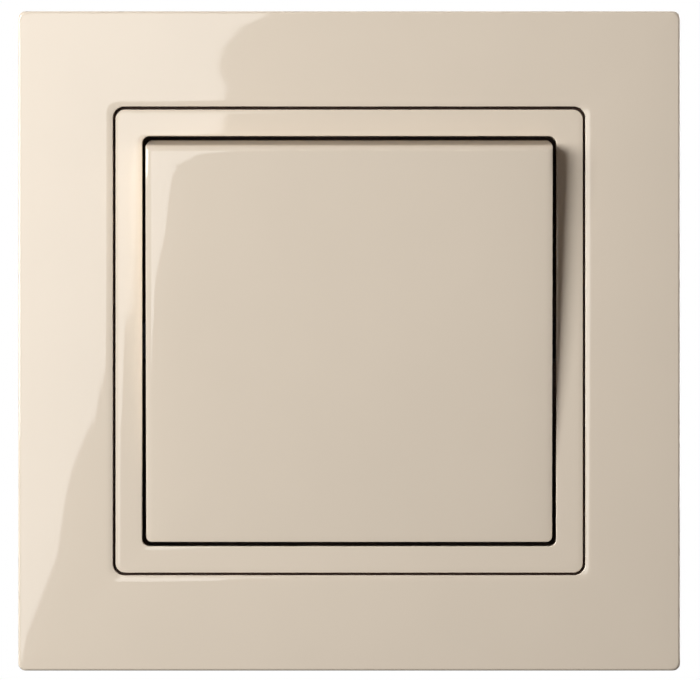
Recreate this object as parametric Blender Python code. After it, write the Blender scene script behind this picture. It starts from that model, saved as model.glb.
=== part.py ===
"""Rocker wall switch for a 60 mm flush box: cover frame, bezel, rocker and the single-pole mechanism.

Lengths below are in millimetres and angles in degrees; meshes are built at MM metres to one.
+Z is up and the front faces -Y. The wall is the plane Y = 0, and the origin is its centre,
so that the support plate's and the frame's rear faces lie on the wall.
"""

from math import asin, cos, pi, radians, sin

import bmesh
import bpy
from mathutils import Vector

MM = 0.001
GAP = 0.3  # clearance between pieces that fit together
CORNER_STEPS = 5

# Cover frame
FRAME_HALF = (40.5, 40.35)
FRAME_FRONT = -9.5
FRAME_WALL = 1.8
FRAME_OPENING = (28.84, 28.64)
FRAME_LIP_REAR = -5.2
FRAME_LIP_WALL = 1.5
FRAME_CORNER = 0.8
OPENING_CORNER = 1.4
# (inset from the outline, depth behind the front) round the outer edge
FRAME_EDGE = ((0.0, 0.35), (0.09, 0.14), (0.3, 0.05), (3.0, 0.02), (6.0, 0.0))
# (distance from the opening, depth behind the front), towards the opening
FRAME_LIP = ((2.5, 0.03), (1.0, 0.05), (0.4, 0.1), (0.12, 0.15), (0.0, 0.27))
RIB_PLACE = 20.0
RIB_HALF = 0.7
RIB_SINK = 0.6  # how far ribs reach into the wall they stand on
RIB_REAR = -0.5

# Bezel
BEZEL_HALF = (28.58, 28.37)
BEZEL_FRONT = -9.2
BEZEL_REAR = -3.7
BEZEL_OPENING = (25.33, 25.05)
BEZEL_FLANGE_OUT = 2.6
BEZEL_FLANGE_FRONT = -4.9
BEZEL_CORNER = 1.2
BEZEL_OPENING_CORNER = 1.0
BEZEL_EDGE = ((0.0, 0.2), (0.06, 0.06), (0.2, 0.0))
BEZEL_LIP = ((0.55, 0.04), (0.12, 0.07), (0.0, 0.19))
FLANGE_CORNER = 2.0
HOOK_X = (6.0, 11.0)
HOOK_Z = (25.3, 26.5)
HOOK_BARB = 0.8
HOOK_ROOT = 0.8
HOOK_STEP = 0.3
HOOK_TIP = 1.3
HOOK_CHAMFER = 0.2

# Rocker: lengths along Y are counted from its pivot, which lies just behind the key's face
PIVOT_Y = -6.5
REST_TILT = 4.0
KEY_HALF = (24.85, 24.5)
KEY_RAISE = 0.1  # the key's centre above the pivot, which evens out the gaps at rest
KEY_FACE = -4.36
KEY_REAR = 2.3
KEY_WALL = 1.6
KEY_CORNER = 0.7
KEY_INSIDE_CORNER = 0.4
KEY_CROWN = (0.163, 0.065)  # fall of the face from its middle to its edges, along X and along Z
KEY_CROWN_POWER = 8
# (distance from the edge, fall of the face there): both sides, the lower edge and the upper edge's steep wall
KEY_SIDE_FALL = ((0.0, 0.26), (0.1, 0.11), (0.4, 0.035), (1.0, 0.0))
KEY_FOOT_FALL = ((0.0, 0.26), (0.1, 0.11), (0.42, 0.03), (0.63, 0.0))
KEY_HEAD_FALL = ((0.0, 4.9), (0.42, 0.62), (0.63, 0.25), (1.0, 0.03), (1.2, 0.0))
KEY_RINGS = (0.0, 0.1, 0.42, 0.63, 1.0, 2.5, 6.0, 12.0)
LATCH_HALF = 5.0
LATCH_SINK = 0.8
LATCH_REACH = 0.7
LATCH_STEP = 0.6
LATCH_TIP = (0.9, 0.3)
LATCH_BACK = 1.5
CRADLE_HALF = (9.6, 15.0)
CRADLE_PLATE = (-2.2, -0.8)
CRADLE_CORNER = 1.5
# (y, z) outline of the hub that carries the pins
HUB_OUTLINE = ((-1.5, -4.2), (0.5, -3.4), (2.4, -2.4), (2.4, 2.4), (0.5, 3.4), (-1.5, 4.2))
HUB_HALF = 9.0
PIN_RADIUS = 1.5
PIN_REACH = 13.6
PIN_SEAT = 1.8
SEAT_MOUTH = 1.2
TUBE_RADIUS = 3.4
TUBE_BORE = 2.3
TUBE_END = 12.0
TUBE_SINK = 0.5
BORE_START = 0.6
PLUNGER_RADIUS = 2.0
PLUNGER_START = 8.5
PLUNGER_TIP = 14.5
PLUNGER_CHAMFER = 0.2
NOSE_RADIUS = 1.5
NOSE_START = 1.9
NOSE_FLAT = 0.1
SPRING_WIRE = 0.22
SPRING_TURNS = 7
TURN_STEPS = 9
COIL_PLAY = 0.05

# Mechanism
COVER_HALF = 19.0
COVER_Y = (-2.8, -1.5)
COVER_CORNER = 2.5
COVER_WINDOW = (9.6, 5.6)
BEARING_X = (9.9, 13.9)
BEARING_TOP = -8.2
BEARING_SINK = 0.9
BEARING_HALF = 4.0
BEARING_CHAMFER = (0.6, 0.8)
BASE_HALF = 20.0
BASE_Y = (0.3, 24.0)
BASE_WALL = 1.8
BASE_CORNER = 2.5
CAVITY_CORNER = 1.2
# (x, front y, z) of the inner supports under the blade's upright, the terminal plates and the contact arm
UPRIGHT_SUPPORT = ((10.3, 13.6), -0.2, (-2.5, 2.5))
TERMINAL_SUPPORT = ((6.6, 12.4), (-8.6, -7.2))
ARM_SUPPORT = ((-3.0, 3.0), 11.2, (7.0, 9.0))
# ribs on the outside that the claws slide along
GUIDE_RISE = 1.2
GUIDE_SPAN = ((9.5, 16.0), (-3.0, 3.0))
SCREW_PLACE = 15.8  # assembly screws, from the centre both ways
SCREW_HOLE = 1.5
SCREW_HOLE_END = 15.0
BOSS_RADIUS = 2.5
BOSS_DROP = 0.1
ASSEMBLY_HEAD = (2.3, 1.2)
ASSEMBLY_SHANK = (1.2, 14.0)
ASSEMBLY_SLOT = 0.6
SLOT_HALF = 0.35
HEAD_EDGE = (0.45, 0.4)
TIP_EDGE = 0.4

# Contacts
BLADE_PIVOT_Y = 9.5
BLADE_REST = -8.0
BLADE_HALF = (2.5, 9.0)
BLADE_CORNER = 1.2
BLADE_RIVET_Z = -7.2
RIVET_HOLE = 1.0
# (radius, y) of the blade's rivet: its shank passes the blade, and its head closes the circuit
RIVET_SHANK = 0.7
RIVET_HEAD = ((1.5, 0.45), (1.0, 0.7))
RIVET_TAIL = 0.3
STRIP = 0.8
# (x, y) outline of the upright, less its rear edge: two horns hold the blade's middle
UPRIGHT_OUTLINE = ((-3.9, 8.0), (-2.85, 8.0), (-2.85, 9.5), (2.85, 9.5), (2.85, 8.0), (3.9, 8.0))
UPRIGHT_HALF = 0.4
# (x, z) outline of the live strip's rear plate
LIVE_PLATE = (
    (3.5, 0.3), (-9.9, 0.3), (-9.9, -6.0), (-12.8, -6.0), (-12.8, -17.3), (-6.2, -17.3), (-6.2, -6.5),
    (3.5, -6.5),
)
ARM_Y = (12.6, 13.4)
ARM_X = (-2.6, 12.8)
ARM_Z = (-9.9, -6.1)
ARM_RIVET_Z = -8.0
ARM_RIVET_HEAD = ((1.2, 0.7), (1.5, 0.5))
ARM_RIVET_TAIL = 0.2
LOAD_PLATE_X = (6.2, 12.8)
LOAD_PLATE_Z = (-17.3, -9.0)
OVERLAP = 0.05
TERMINAL_X = 9.5
TERMINAL_Z = -13.0
TERMINAL_PLATE_Y = 15.8
TERMINAL_HOLE = 1.75
TERMINAL_WELL = 3.1
TERMINAL_HEAD = (2.6, 2.0)
TERMINAL_SHANK = (1.4, 13.0)
TERMINAL_SLOT = 0.9
CLAMP_Y = (19.0, 20.0)
CLAMP_HALF = (2.9, 3.4)
CLAMP_CORNER = 0.5
WIRE_Y = 17.8
WIRE_HOLE = 1.15
WIRE_BESIDE = 2.9

# Support plate and claws
PLATE_HALF = 35.5
PLATE_THICKNESS = 1.2
PLATE_CORNER = 3.0
PLATE_WINDOW = (15.2, 11.8)
PLATE_WINDOW_CORNER = 2.0
FIXING_RADIUS = 30.0
SLOT_WIDTH = 3.8
SLOT_SWEEP = 9.0
FIXING_HOLE = 1.8
FIXING_PLACE = 27.5
HOOK_SLOT_PLAY = (0.4, 0.6)  # towards the centre and outwards
CLAW_SCREW_X = 24.5
CLAW_SCREW_HOLE = 1.85
CLAW_SCREW_HEAD = (2.8, 1.6)
CLAW_SCREW_SHANK = (1.5, 13.0)
CLAW_SCREW_SLOT = 0.8
CLAW_HINGE_Y = 6.0
CLAW_HALF_WIDTH = 4.0
# (x, y) outline of the claw's strip, seen along its width: foot, leg and the bent tip
CLAW_OUTLINE = (
    (-2.7, -0.6), (3.1, -0.6), (3.1, 10.0), (4.8, 10.6), (4.8, 11.2), (2.0, 11.2), (2.0, 0.6), (-2.7, 0.6),
)
CLAW_HOLE = (2.2, 1.9)
CLAW_TEETH_Z = (-1.35, 1.35)
CLAW_NOTCH = ((5.5, -1.3), (3.4, 0.0), (5.5, 1.3))
CLAW_NOTCH_Y = (9.0, 12.0)
BEYOND = 1.0  # how far cutters reach past what they cut


def clear_scene():
    for old in list(bpy.data.objects):
        bpy.data.objects.remove(old)


def material(name, colour, roughness, metallic=0.0):
    made = bpy.data.materials.new(name)
    made.use_nodes = True
    shader = made.node_tree.nodes["Principled BSDF"]
    shader.inputs["Base Color"].default_value = (*colour, 1.0)
    shader.inputs["Roughness"].default_value = roughness
    shader.inputs["Metallic"].default_value = metallic
    made.diffuse_color = (*colour, 1.0)
    return made


def finish(name, bm, look, at=(0, 0, 0), tilt=0.0, parent=None):
    """Turns a bmesh in millimetres into a named object in metres, shaded smooth but for its edges."""
    bmesh.ops.recalc_face_normals(bm, faces=bm.faces)
    bmesh.ops.scale(bm, vec=(MM, MM, MM), verts=bm.verts)
    mesh = bpy.data.meshes.new(name)
    bm.to_mesh(mesh)
    bm.free()
    mesh.shade_smooth()
    mesh.set_sharp_from_angle(angle=radians(32))
    made = bpy.data.objects.new(name, mesh)
    if look:
        mesh.materials.append(look)
    bpy.context.scene.collection.objects.link(made)
    made.location = Vector(at) * MM
    made.rotation_euler = (radians(tilt), 0, 0)
    made.parent = parent
    return made


def pivot(name, at, tilt):
    empty = bpy.data.objects.new(name, None)
    bpy.context.scene.collection.objects.link(empty)
    empty.empty_display_size = 5 * MM
    empty.location = Vector(at) * MM
    empty.rotation_euler = (radians(tilt), 0, 0)
    return empty


def combine(target, bm, operation):
    """Cuts the bmesh's shapes out of the object, or joins them to it, with a hidden helper."""
    helper = finish(f"{target.name}_{operation.lower()}", bm, None)
    helper.parent = target
    helper.hide_render = True
    helper.display_type = "WIRE"
    step = target.modifiers.new(operation.title(), "BOOLEAN")
    step.operation = operation
    step.solver = "EXACT"
    step.object = helper


def prism(bm, axis, outline, start, end):
    """Extrudes an outline along an axis: (y, z) points along X, (x, z) along Y and (x, y) along Z."""
    along = "XYZ".index(axis)
    across, up = (i for i in range(3) if i != along)
    rings = []
    for level in (start, end):
        ring = []
        for u, v in outline:
            point = [0.0, 0.0, 0.0]
            point[along], point[across], point[up] = level, u, v
            ring.append(bm.verts.new(point))
        rings.append(ring)
    bridge(bm, rings)
    for ring in rings:
        bm.faces.new(ring)


def bridge(bm, rings, closed=False):
    pairs = list(zip(rings, rings[1:]))
    if closed:
        pairs.append((rings[-1], rings[0]))
    for first, second in pairs:
        count = len(first)
        for i in range(count):
            j = (i + 1) % count
            bm.faces.new((first[i], first[j], second[j], second[i]))


def box(bm, x, y, z):
    prism(bm, "Y", [(x[0], z[0]), (x[1], z[0]), (x[1], z[1]), (x[0], z[1])], *y)


def mirrored(span):
    return (-span[1], -span[0])


def circle(centre, radius, sides):
    turn = 2 * pi / sides
    return [
        (centre[0] + radius * cos(i * turn), centre[1] + radius * sin(i * turn))
        for i in range(sides)
    ]


def rounded(half, corner, centre=(0, 0), steps=CORNER_STEPS):
    """A rectangle's outline with arcs for corners."""
    points = []
    for sx, sz, start in ((1, 1, 0), (-1, 1, 90), (-1, -1, 180), (1, -1, 270)):
        for step in range(steps + 1):
            a = radians(start + 90 * step / steps)
            u = sx * (half[0] - corner) + corner * cos(a)
            v = sz * (half[1] - corner) + corner * sin(a)
            points.append((centre[0] + u, centre[1] + v))
    return points


def arc_slot(radius, facing, sweep, width, steps=6):
    """A slot bent round the origin, its middle in the direction facing, with round ends."""
    points = []
    inner, outer = radius - width / 2, radius + width / 2
    for step in range(steps + 1):
        a = radians(facing - sweep + 2 * sweep * step / steps)
        points.append((outer * cos(a), outer * sin(a)))
    for side, turn in ((1, 0), (-1, 180)):
        a = radians(facing + side * sweep)
        centre = (radius * cos(a), radius * sin(a))
        for step in range(1, 4):
            b = a + radians(turn) + pi * step / 4
            points.append((centre[0] + width / 2 * cos(b), centre[1] + width / 2 * sin(b)))
        if side == 1:
            for back in range(steps + 1):
                c = radians(facing + sweep - 2 * sweep * back / steps)
                points.append((inner * cos(c), inner * sin(c)))
    return points


def ring(bm, half, corner, y, fall=None):
    """A ring of points round a rectangle at depth y, or behind it by fall(x, z)."""
    return [bm.verts.new((x, y + (fall(x, z) if fall else 0.0), z)) for x, z in rounded(half, corner)]


def grown(half, by):
    return (half[0] + by, half[1] + by)


def turned(bm, axis, centre, profile, sides):
    """A solid of revolution along an axis, from (radius, level) pairs, flat at both ends."""
    along = "XYZ".index(axis)
    across, up = (i for i in range(3) if i != along)
    rings = []
    for radius, level in profile:
        made = []
        for u, v in circle(centre, radius, sides):
            point = [0.0, 0.0, 0.0]
            point[along], point[across], point[up] = level, u, v
            made.append(bm.verts.new(point))
        rings.append(made)
    bridge(bm, rings)
    bm.faces.new(rings[0])
    bm.faces.new(rings[-1])


def outer_frame(look):
    bm = bmesh.new()
    lip = grown(FRAME_OPENING, FRAME_LIP_WALL)
    inside = grown(FRAME_HALF, -FRAME_WALL)
    ceiling = FRAME_FRONT + FRAME_WALL
    rings = [ring(bm, FRAME_HALF, FRAME_CORNER, 0)]
    for inset, depth in FRAME_EDGE:
        rings.append(ring(bm, grown(FRAME_HALF, -inset), FRAME_CORNER, FRAME_FRONT + depth))
    for distance, depth in FRAME_LIP:
        rings.append(ring(bm, grown(FRAME_OPENING, distance), OPENING_CORNER, FRAME_FRONT + depth))
    rings += [
        ring(bm, FRAME_OPENING, OPENING_CORNER, FRAME_LIP_REAR),
        ring(bm, lip, OPENING_CORNER, FRAME_LIP_REAR),
        ring(bm, lip, OPENING_CORNER, ceiling),
        ring(bm, inside, FRAME_CORNER, ceiling),
        ring(bm, inside, FRAME_CORNER, 0),
    ]
    bridge(bm, rings, closed=True)
    made = finish("outer_frame", bm, look)
    ribs = bmesh.new()
    for place in (-RIB_PLACE, RIB_PLACE):
        for side in (-1, 1):
            reach = sorted((side * (PLATE_HALF + GAP), side * (FRAME_HALF[0] - FRAME_WALL / 2)))
            span = (place - RIB_HALF, place + RIB_HALF)
            rise = (ceiling - RIB_SINK, RIB_REAR)
            box(ribs, reach, rise, span)
            box(ribs, span, rise, reach)
    combine(made, ribs, "UNION")


def inner_bezel(look):
    bm = bmesh.new()
    flange = grown(BEZEL_HALF, BEZEL_FLANGE_OUT)
    rings = [
        ring(bm, flange, FLANGE_CORNER, BEZEL_REAR),
        ring(bm, flange, FLANGE_CORNER, BEZEL_FLANGE_FRONT),
        ring(bm, BEZEL_HALF, BEZEL_CORNER, BEZEL_FLANGE_FRONT),
    ]
    for inset, depth in BEZEL_EDGE:
        rings.append(ring(bm, grown(BEZEL_HALF, -inset), BEZEL_CORNER, BEZEL_FRONT + depth))
    for distance, depth in BEZEL_LIP:
        outline = grown(BEZEL_OPENING, distance)
        rings.append(ring(bm, outline, BEZEL_OPENING_CORNER, BEZEL_FRONT + depth))
    rings.append(ring(bm, BEZEL_OPENING, BEZEL_OPENING_CORNER, BEZEL_REAR))
    bridge(bm, rings, closed=True)
    made = finish("inner_bezel", bm, look)
    hooks = bmesh.new()
    root = BEZEL_REAR - HOOK_ROOT
    for x in (HOOK_X, mirrored(HOOK_X)):
        for side in (-1, 1):
            outline = [
                (root, side * HOOK_Z[0]),
                (GAP, side * HOOK_Z[0]),
                (GAP, side * (HOOK_Z[0] - HOOK_BARB)),
                (GAP + HOOK_STEP, side * (HOOK_Z[0] - HOOK_BARB)),
                (GAP + HOOK_TIP, side * (HOOK_Z[0] + HOOK_CHAMFER)),
                (GAP + HOOK_TIP, side * HOOK_Z[1]),
                (root, side * HOOK_Z[1]),
            ]
            prism(hooks, "X", outline, *x)
    combine(made, hooks, "UNION")


def read_off(pairs, place):
    """The value at a place along (place, value) pairs joined by straight lines, level past both ends."""
    for (start, first), (end, second) in zip(pairs, pairs[1:]):
        if place <= end:
            return first + (second - first) * max(0.0, place - start) / (end - start)
    return pairs[-1][1]


def key_fall(x, z):
    """How far the key's face lies behind its middle: a slight crown, and rounded edges."""
    crown = KEY_CROWN[0] * (x / KEY_HALF[0]) ** KEY_CROWN_POWER
    crown += KEY_CROWN[1] * (z / KEY_HALF[1]) ** KEY_CROWN_POWER
    side = read_off(KEY_SIDE_FALL, KEY_HALF[0] - abs(x))
    head = read_off(KEY_HEAD_FALL, KEY_HALF[1] - z)
    foot = read_off(KEY_FOOT_FALL, KEY_HALF[1] + z)
    return crown + side + head + foot


def rocker_key(look, hinge):
    bm = bmesh.new()
    inside = grown(KEY_HALF, -KEY_WALL)
    ceiling = KEY_FACE + KEY_WALL
    rings = [
        ring(bm, inside, KEY_INSIDE_CORNER, ceiling),
        ring(bm, inside, KEY_INSIDE_CORNER, KEY_REAR),
        ring(bm, KEY_HALF, KEY_CORNER, KEY_REAR),
    ]
    for inset in KEY_RINGS:
        rings.append(ring(bm, grown(KEY_HALF, -inset), KEY_CORNER, KEY_FACE, key_fall))
    bridge(bm, rings)
    bm.faces.new(rings[0])
    bm.faces.new(rings[-1])
    bmesh.ops.translate(bm, vec=(0, 0, KEY_RAISE), verts=bm.verts)
    made = finish("rocker_key", bm, look, parent=hinge)
    latches = bmesh.new()
    half_z = CRADLE_HALF[1]
    root = ceiling - LATCH_SINK
    catch = CRADLE_PLATE[1] + GAP
    for side in (-1, 1):
        outline = [
            (root, side * (half_z + GAP)),
            (catch, side * (half_z + GAP)),
            (catch, side * (half_z - LATCH_REACH)),
            (catch + LATCH_STEP, side * (half_z - LATCH_REACH)),
            (catch + LATCH_TIP[0], side * (half_z + LATCH_TIP[1])),
            (catch + LATCH_TIP[0], side * (half_z + LATCH_BACK)),
            (root, side * (half_z + LATCH_BACK)),
        ]
        prism(latches, "X", outline, -LATCH_HALF, LATCH_HALF)
    combine(made, latches, "UNION")


def rocker_cradle(look, hinge):
    bm = bmesh.new()
    prism(bm, "Y", rounded(CRADLE_HALF, CRADLE_CORNER), *CRADLE_PLATE)
    made = finish("rocker_cradle", bm, look, parent=hinge)
    hub = bmesh.new()
    prism(hub, "X", HUB_OUTLINE, -HUB_HALF, HUB_HALF)
    combine(made, hub, "UNION")
    pins = bmesh.new()
    prism(pins, "X", circle((0, 0), PIN_RADIUS, 16), -PIN_REACH, PIN_REACH)
    combine(made, pins, "UNION")
    tube = bmesh.new()
    prism(tube, "Y", circle((0, 0), TUBE_RADIUS, 16), CRADLE_PLATE[1] - TUBE_SINK, TUBE_END)
    combine(made, tube, "UNION")
    bore = bmesh.new()
    prism(bore, "Y", circle((0, 0), TUBE_BORE, 16), BORE_START, TUBE_END + BEYOND)
    combine(made, bore, "DIFFERENCE")


def plunger(look, hinge):
    bm = bmesh.new()
    r = PLUNGER_RADIUS
    profile = [
        (r - PLUNGER_CHAMFER, PLUNGER_START),
        (r, PLUNGER_START + PLUNGER_CHAMFER),
        (r, PLUNGER_TIP - NOSE_START),
    ]
    nose = PLUNGER_TIP - NOSE_RADIUS
    for step in range(5):
        a = radians(90 * step / 4.5)
        profile.append((NOSE_FLAT + NOSE_RADIUS * cos(a), nose + NOSE_RADIUS * sin(a)))
    turned(bm, "Y", (0, 0), profile, 14)
    finish("plunger", bm, look, parent=hinge)


def plunger_spring(look, hinge):
    """A compression spring: a wire section swept along a helix in the plunger's bore."""
    bm = bmesh.new()
    start = BORE_START + GAP + SPRING_WIRE
    length = PLUNGER_START - GAP - SPRING_WIRE - start
    coil = PLUNGER_RADIUS - SPRING_WIRE - COIL_PLAY
    steps = SPRING_TURNS * TURN_STEPS
    rings = []
    for i in range(steps + 1):
        a = 2 * pi * SPRING_TURNS * i / steps
        outward = Vector((cos(a), 0, sin(a)))
        centre = outward * coil + Vector((0, start + length * i / steps, 0))
        section = []
        for u, v in circle((0, 0), SPRING_WIRE, 5):
            section.append(bm.verts.new(centre + outward * u + Vector((0, v, 0))))
        rings.append(section)
    bridge(bm, rings)
    bm.faces.new(rings[0])
    bm.faces.new(rings[-1])
    finish("plunger_spring", bm, look, parent=hinge)


def moving_contact(brass, silver, hinge):
    """The blade and its rivet, about the edge that the blade rocks on."""
    front, rear = -GAP - STRIP, -GAP
    bm = bmesh.new()
    prism(bm, "Y", rounded(BLADE_HALF, BLADE_CORNER, steps=3), front, rear)
    made = finish("moving_contact", bm, brass, parent=hinge)
    hole = bmesh.new()
    place = (0, BLADE_RIVET_Z)
    prism(hole, "Y", circle(place, RIVET_HOLE, 12), front - BEYOND, rear + BEYOND)
    combine(made, hole, "DIFFERENCE")
    rivet = bmesh.new()
    face = rear + GAP
    profile = [(RIVET_SHANK, front - RIVET_TAIL), (RIVET_SHANK, face)]
    profile += [(RIVET_HEAD[0][0], face), *RIVET_HEAD]
    turned(rivet, "Y", place, profile, 14)
    finish("moving_contact_rivet", rivet, silver, parent=hinge)


def common_contact(look):
    """The live strip: a notched upright for the blade, a foot and the line terminal's plate."""
    bm = bmesh.new()
    foot = TERMINAL_PLATE_Y + STRIP
    upright = [(UPRIGHT_OUTLINE[0][0], foot), *UPRIGHT_OUTLINE, (UPRIGHT_OUTLINE[-1][0], foot)]
    prism(bm, "Z", upright, -UPRIGHT_HALF, UPRIGHT_HALF)
    made = finish("common_contact", bm, look)
    plate = bmesh.new()
    prism(plate, "Y", LIVE_PLATE, TERMINAL_PLATE_Y, foot - OVERLAP)
    combine(made, plate, "UNION")
    terminal_hole(made, -TERMINAL_X)


def terminal_hole(made, x):
    hole = bmesh.new()
    reach = (TERMINAL_PLATE_Y - BEYOND, TERMINAL_PLATE_Y + STRIP + BEYOND)
    prism(hole, "Y", circle((x, TERMINAL_Z), TERMINAL_HOLE, 12), *reach)
    combine(made, hole, "DIFFERENCE")


def fixed_contact(brass, silver):
    """The switched strip: a contact arm across the base, bent back to the load terminal's plate."""
    bm = bmesh.new()
    rear = TERMINAL_PLATE_Y + STRIP
    bend = ARM_X[1] - STRIP
    outline = [
        (ARM_X[0], ARM_Y[0]), (ARM_X[1], ARM_Y[0]), (ARM_X[1], rear), (LOAD_PLATE_X[0], rear),
        (LOAD_PLATE_X[0], TERMINAL_PLATE_Y), (bend, TERMINAL_PLATE_Y), (bend, ARM_Y[1]),
        (ARM_X[0], ARM_Y[1]),
    ]
    prism(bm, "Z", outline, *ARM_Z)
    made = finish("fixed_contact", bm, brass)
    plate = bmesh.new()
    across = (LOAD_PLATE_X[0] + OVERLAP, LOAD_PLATE_X[1] - OVERLAP)
    box(plate, across, (TERMINAL_PLATE_Y + OVERLAP, rear - OVERLAP), LOAD_PLATE_Z)
    combine(made, plate, "UNION")
    place = (0, ARM_RIVET_Z)
    hole = bmesh.new()
    prism(hole, "Y", circle(place, RIVET_HOLE, 12), ARM_Y[0] - BEYOND, ARM_Y[1] + BEYOND)
    combine(made, hole, "DIFFERENCE")
    terminal_hole(made, TERMINAL_X)
    rivet = bmesh.new()
    front = ARM_Y[0] - GAP
    profile = [(radius, front - rise) for radius, rise in ARM_RIVET_HEAD]
    profile += [(ARM_RIVET_HEAD[-1][0], front), (RIVET_SHANK, front)]
    profile.append((RIVET_SHANK, ARM_Y[1] + ARM_RIVET_TAIL))
    turned(rivet, "Y", place, profile, 14)
    finish("fixed_contact_rivet", rivet, silver)


def mechanism_base(look):
    bm = bmesh.new()
    prism(bm, "Y", rounded((BASE_HALF, BASE_HALF), BASE_CORNER), *BASE_Y)
    made = finish("mechanism_base", bm, look)
    inside = BASE_HALF - BASE_WALL
    floor = BASE_Y[1] - BASE_WALL
    cavity = bmesh.new()
    prism(cavity, "Y", rounded((inside, inside), CAVITY_CORNER, steps=3), BASE_Y[0] - BEYOND, floor)
    combine(made, cavity, "DIFFERENCE")
    ribs = bmesh.new()
    root = floor + BEYOND
    (upright_x, upright_y, upright_z), (terminal_x, terminal_z) = UPRIGHT_SUPPORT, TERMINAL_SUPPORT
    arm_x, arm_y, arm_z = ARM_SUPPORT
    for side in (-1, 1):
        box(ribs, sorted(side * x for x in upright_x), (upright_y, root), upright_z)
        terminal_y = (TERMINAL_PLATE_Y + STRIP + GAP, root)
        box(ribs, sorted(side * x for x in terminal_x), terminal_y, terminal_z)
        guide_x = (side * (BASE_HALF - BEYOND), side * (BASE_HALF + GUIDE_RISE))
        box(ribs, sorted(guide_x), *GUIDE_SPAN)
    box(ribs, arm_x, (arm_y, root), arm_z)
    combine(made, ribs, "UNION")
    bosses = bmesh.new()
    for x, z in screw_places():
        prism(bosses, "Y", circle((x, z), BOSS_RADIUS, 14), BASE_Y[0] + BOSS_DROP, root)
    combine(made, bosses, "UNION")
    holes = bmesh.new()
    for x, z in screw_places():
        prism(holes, "Y", circle((x, z), SCREW_HOLE, 12), BASE_Y[0] - BEYOND, SCREW_HOLE_END)
    wall = (-BASE_HALF - BEYOND, -inside + BEYOND)
    for x in (-TERMINAL_X, TERMINAL_X):
        prism(holes, "Y", circle((x, TERMINAL_Z), TERMINAL_WELL, 18), floor - BEYOND, BASE_Y[1] + BEYOND)
        for beside in (-WIRE_BESIDE, WIRE_BESIDE):
            prism(holes, "Z", circle((x + beside, WIRE_Y), WIRE_HOLE, 10), *wall)
    combine(made, holes, "DIFFERENCE")


def screw_places():
    return [(x, z) for x in (-SCREW_PLACE, SCREW_PLACE) for z in (-SCREW_PLACE, SCREW_PLACE)]


def mechanism_cover(look):
    bm = bmesh.new()
    prism(bm, "Y", rounded((COVER_HALF, COVER_HALF), COVER_CORNER), *COVER_Y)
    made = finish("mechanism_cover", bm, look)
    bearings = bmesh.new()
    top, rear = BEARING_TOP, COVER_Y[1] + BEARING_SINK
    shoulder = top + BEARING_CHAMFER[0]
    half, narrow = BEARING_HALF, BEARING_HALF - BEARING_CHAMFER[1]
    outline = [(top, -narrow), (shoulder, -half), (rear, -half)]
    outline += [(rear, half), (shoulder, half), (top, narrow)]
    for x in (BEARING_X, mirrored(BEARING_X)):
        prism(bearings, "X", outline, *x)
    combine(made, bearings, "UNION")
    cuts = bmesh.new()
    through = (COVER_Y[0] - BEYOND, COVER_Y[1] + BEYOND)
    half_x, half_z = COVER_WINDOW
    box(cuts, (-half_x, half_x), through, (-half_z, half_z))
    for x, z in screw_places():
        prism(cuts, "Y", circle((x, z), SCREW_HOLE, 12), *through)
    combine(made, cuts, "DIFFERENCE")
    notches = bmesh.new()
    mouth = pi - asin(SEAT_MOUTH / PIN_SEAT)
    outline = [(BEARING_TOP - BEYOND, SEAT_MOUTH), (BEARING_TOP - BEYOND, -SEAT_MOUTH)]
    for step in range(13):
        a = mouth * (step / 6 - 1)
        outline.append((PIVOT_Y + PIN_SEAT * cos(a), PIN_SEAT * sin(a)))
    prism(notches, "X", outline, -BEARING_X[1] - BEYOND, BEARING_X[1] + BEYOND)
    combine(made, notches, "DIFFERENCE")


def screw(name, look, place, head, shank, slot_in, parent=None):
    """A slotted screw along Y. head and shank are (radius, from, to), with the head's open side first."""
    bm = bmesh.new()
    radius, outer, inner = head
    way = 1 if inner > outer else -1
    profile = [
        (radius - HEAD_EDGE[0], outer), (radius, outer + HEAD_EDGE[1] * way), (radius, inner),
        (shank[0], inner), (shank[0], shank[2] - TIP_EDGE * way), (shank[0] - TIP_EDGE, shank[2]),
    ]
    turned(bm, "Y", (0, 0), profile, 16)
    made = finish(name, bm, look, at=(place[0], 0, place[1]), parent=parent)
    cut = bmesh.new()
    depth = sorted((outer - BEYOND * way, outer + slot_in * way))
    box(cut, (-radius - BEYOND, radius + BEYOND), depth, (-SLOT_HALF, SLOT_HALF))
    combine(made, cut, "DIFFERENCE")


def assembly_screws(look):
    front = COVER_Y[0] - GAP
    head = (ASSEMBLY_HEAD[0], front - ASSEMBLY_HEAD[1], front)
    shank = (ASSEMBLY_SHANK[0], front, ASSEMBLY_SHANK[1])
    for number, place in enumerate(screw_places(), 1):
        screw(f"assembly_screw_{number}", look, place, head, shank, ASSEMBLY_SLOT)


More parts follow.
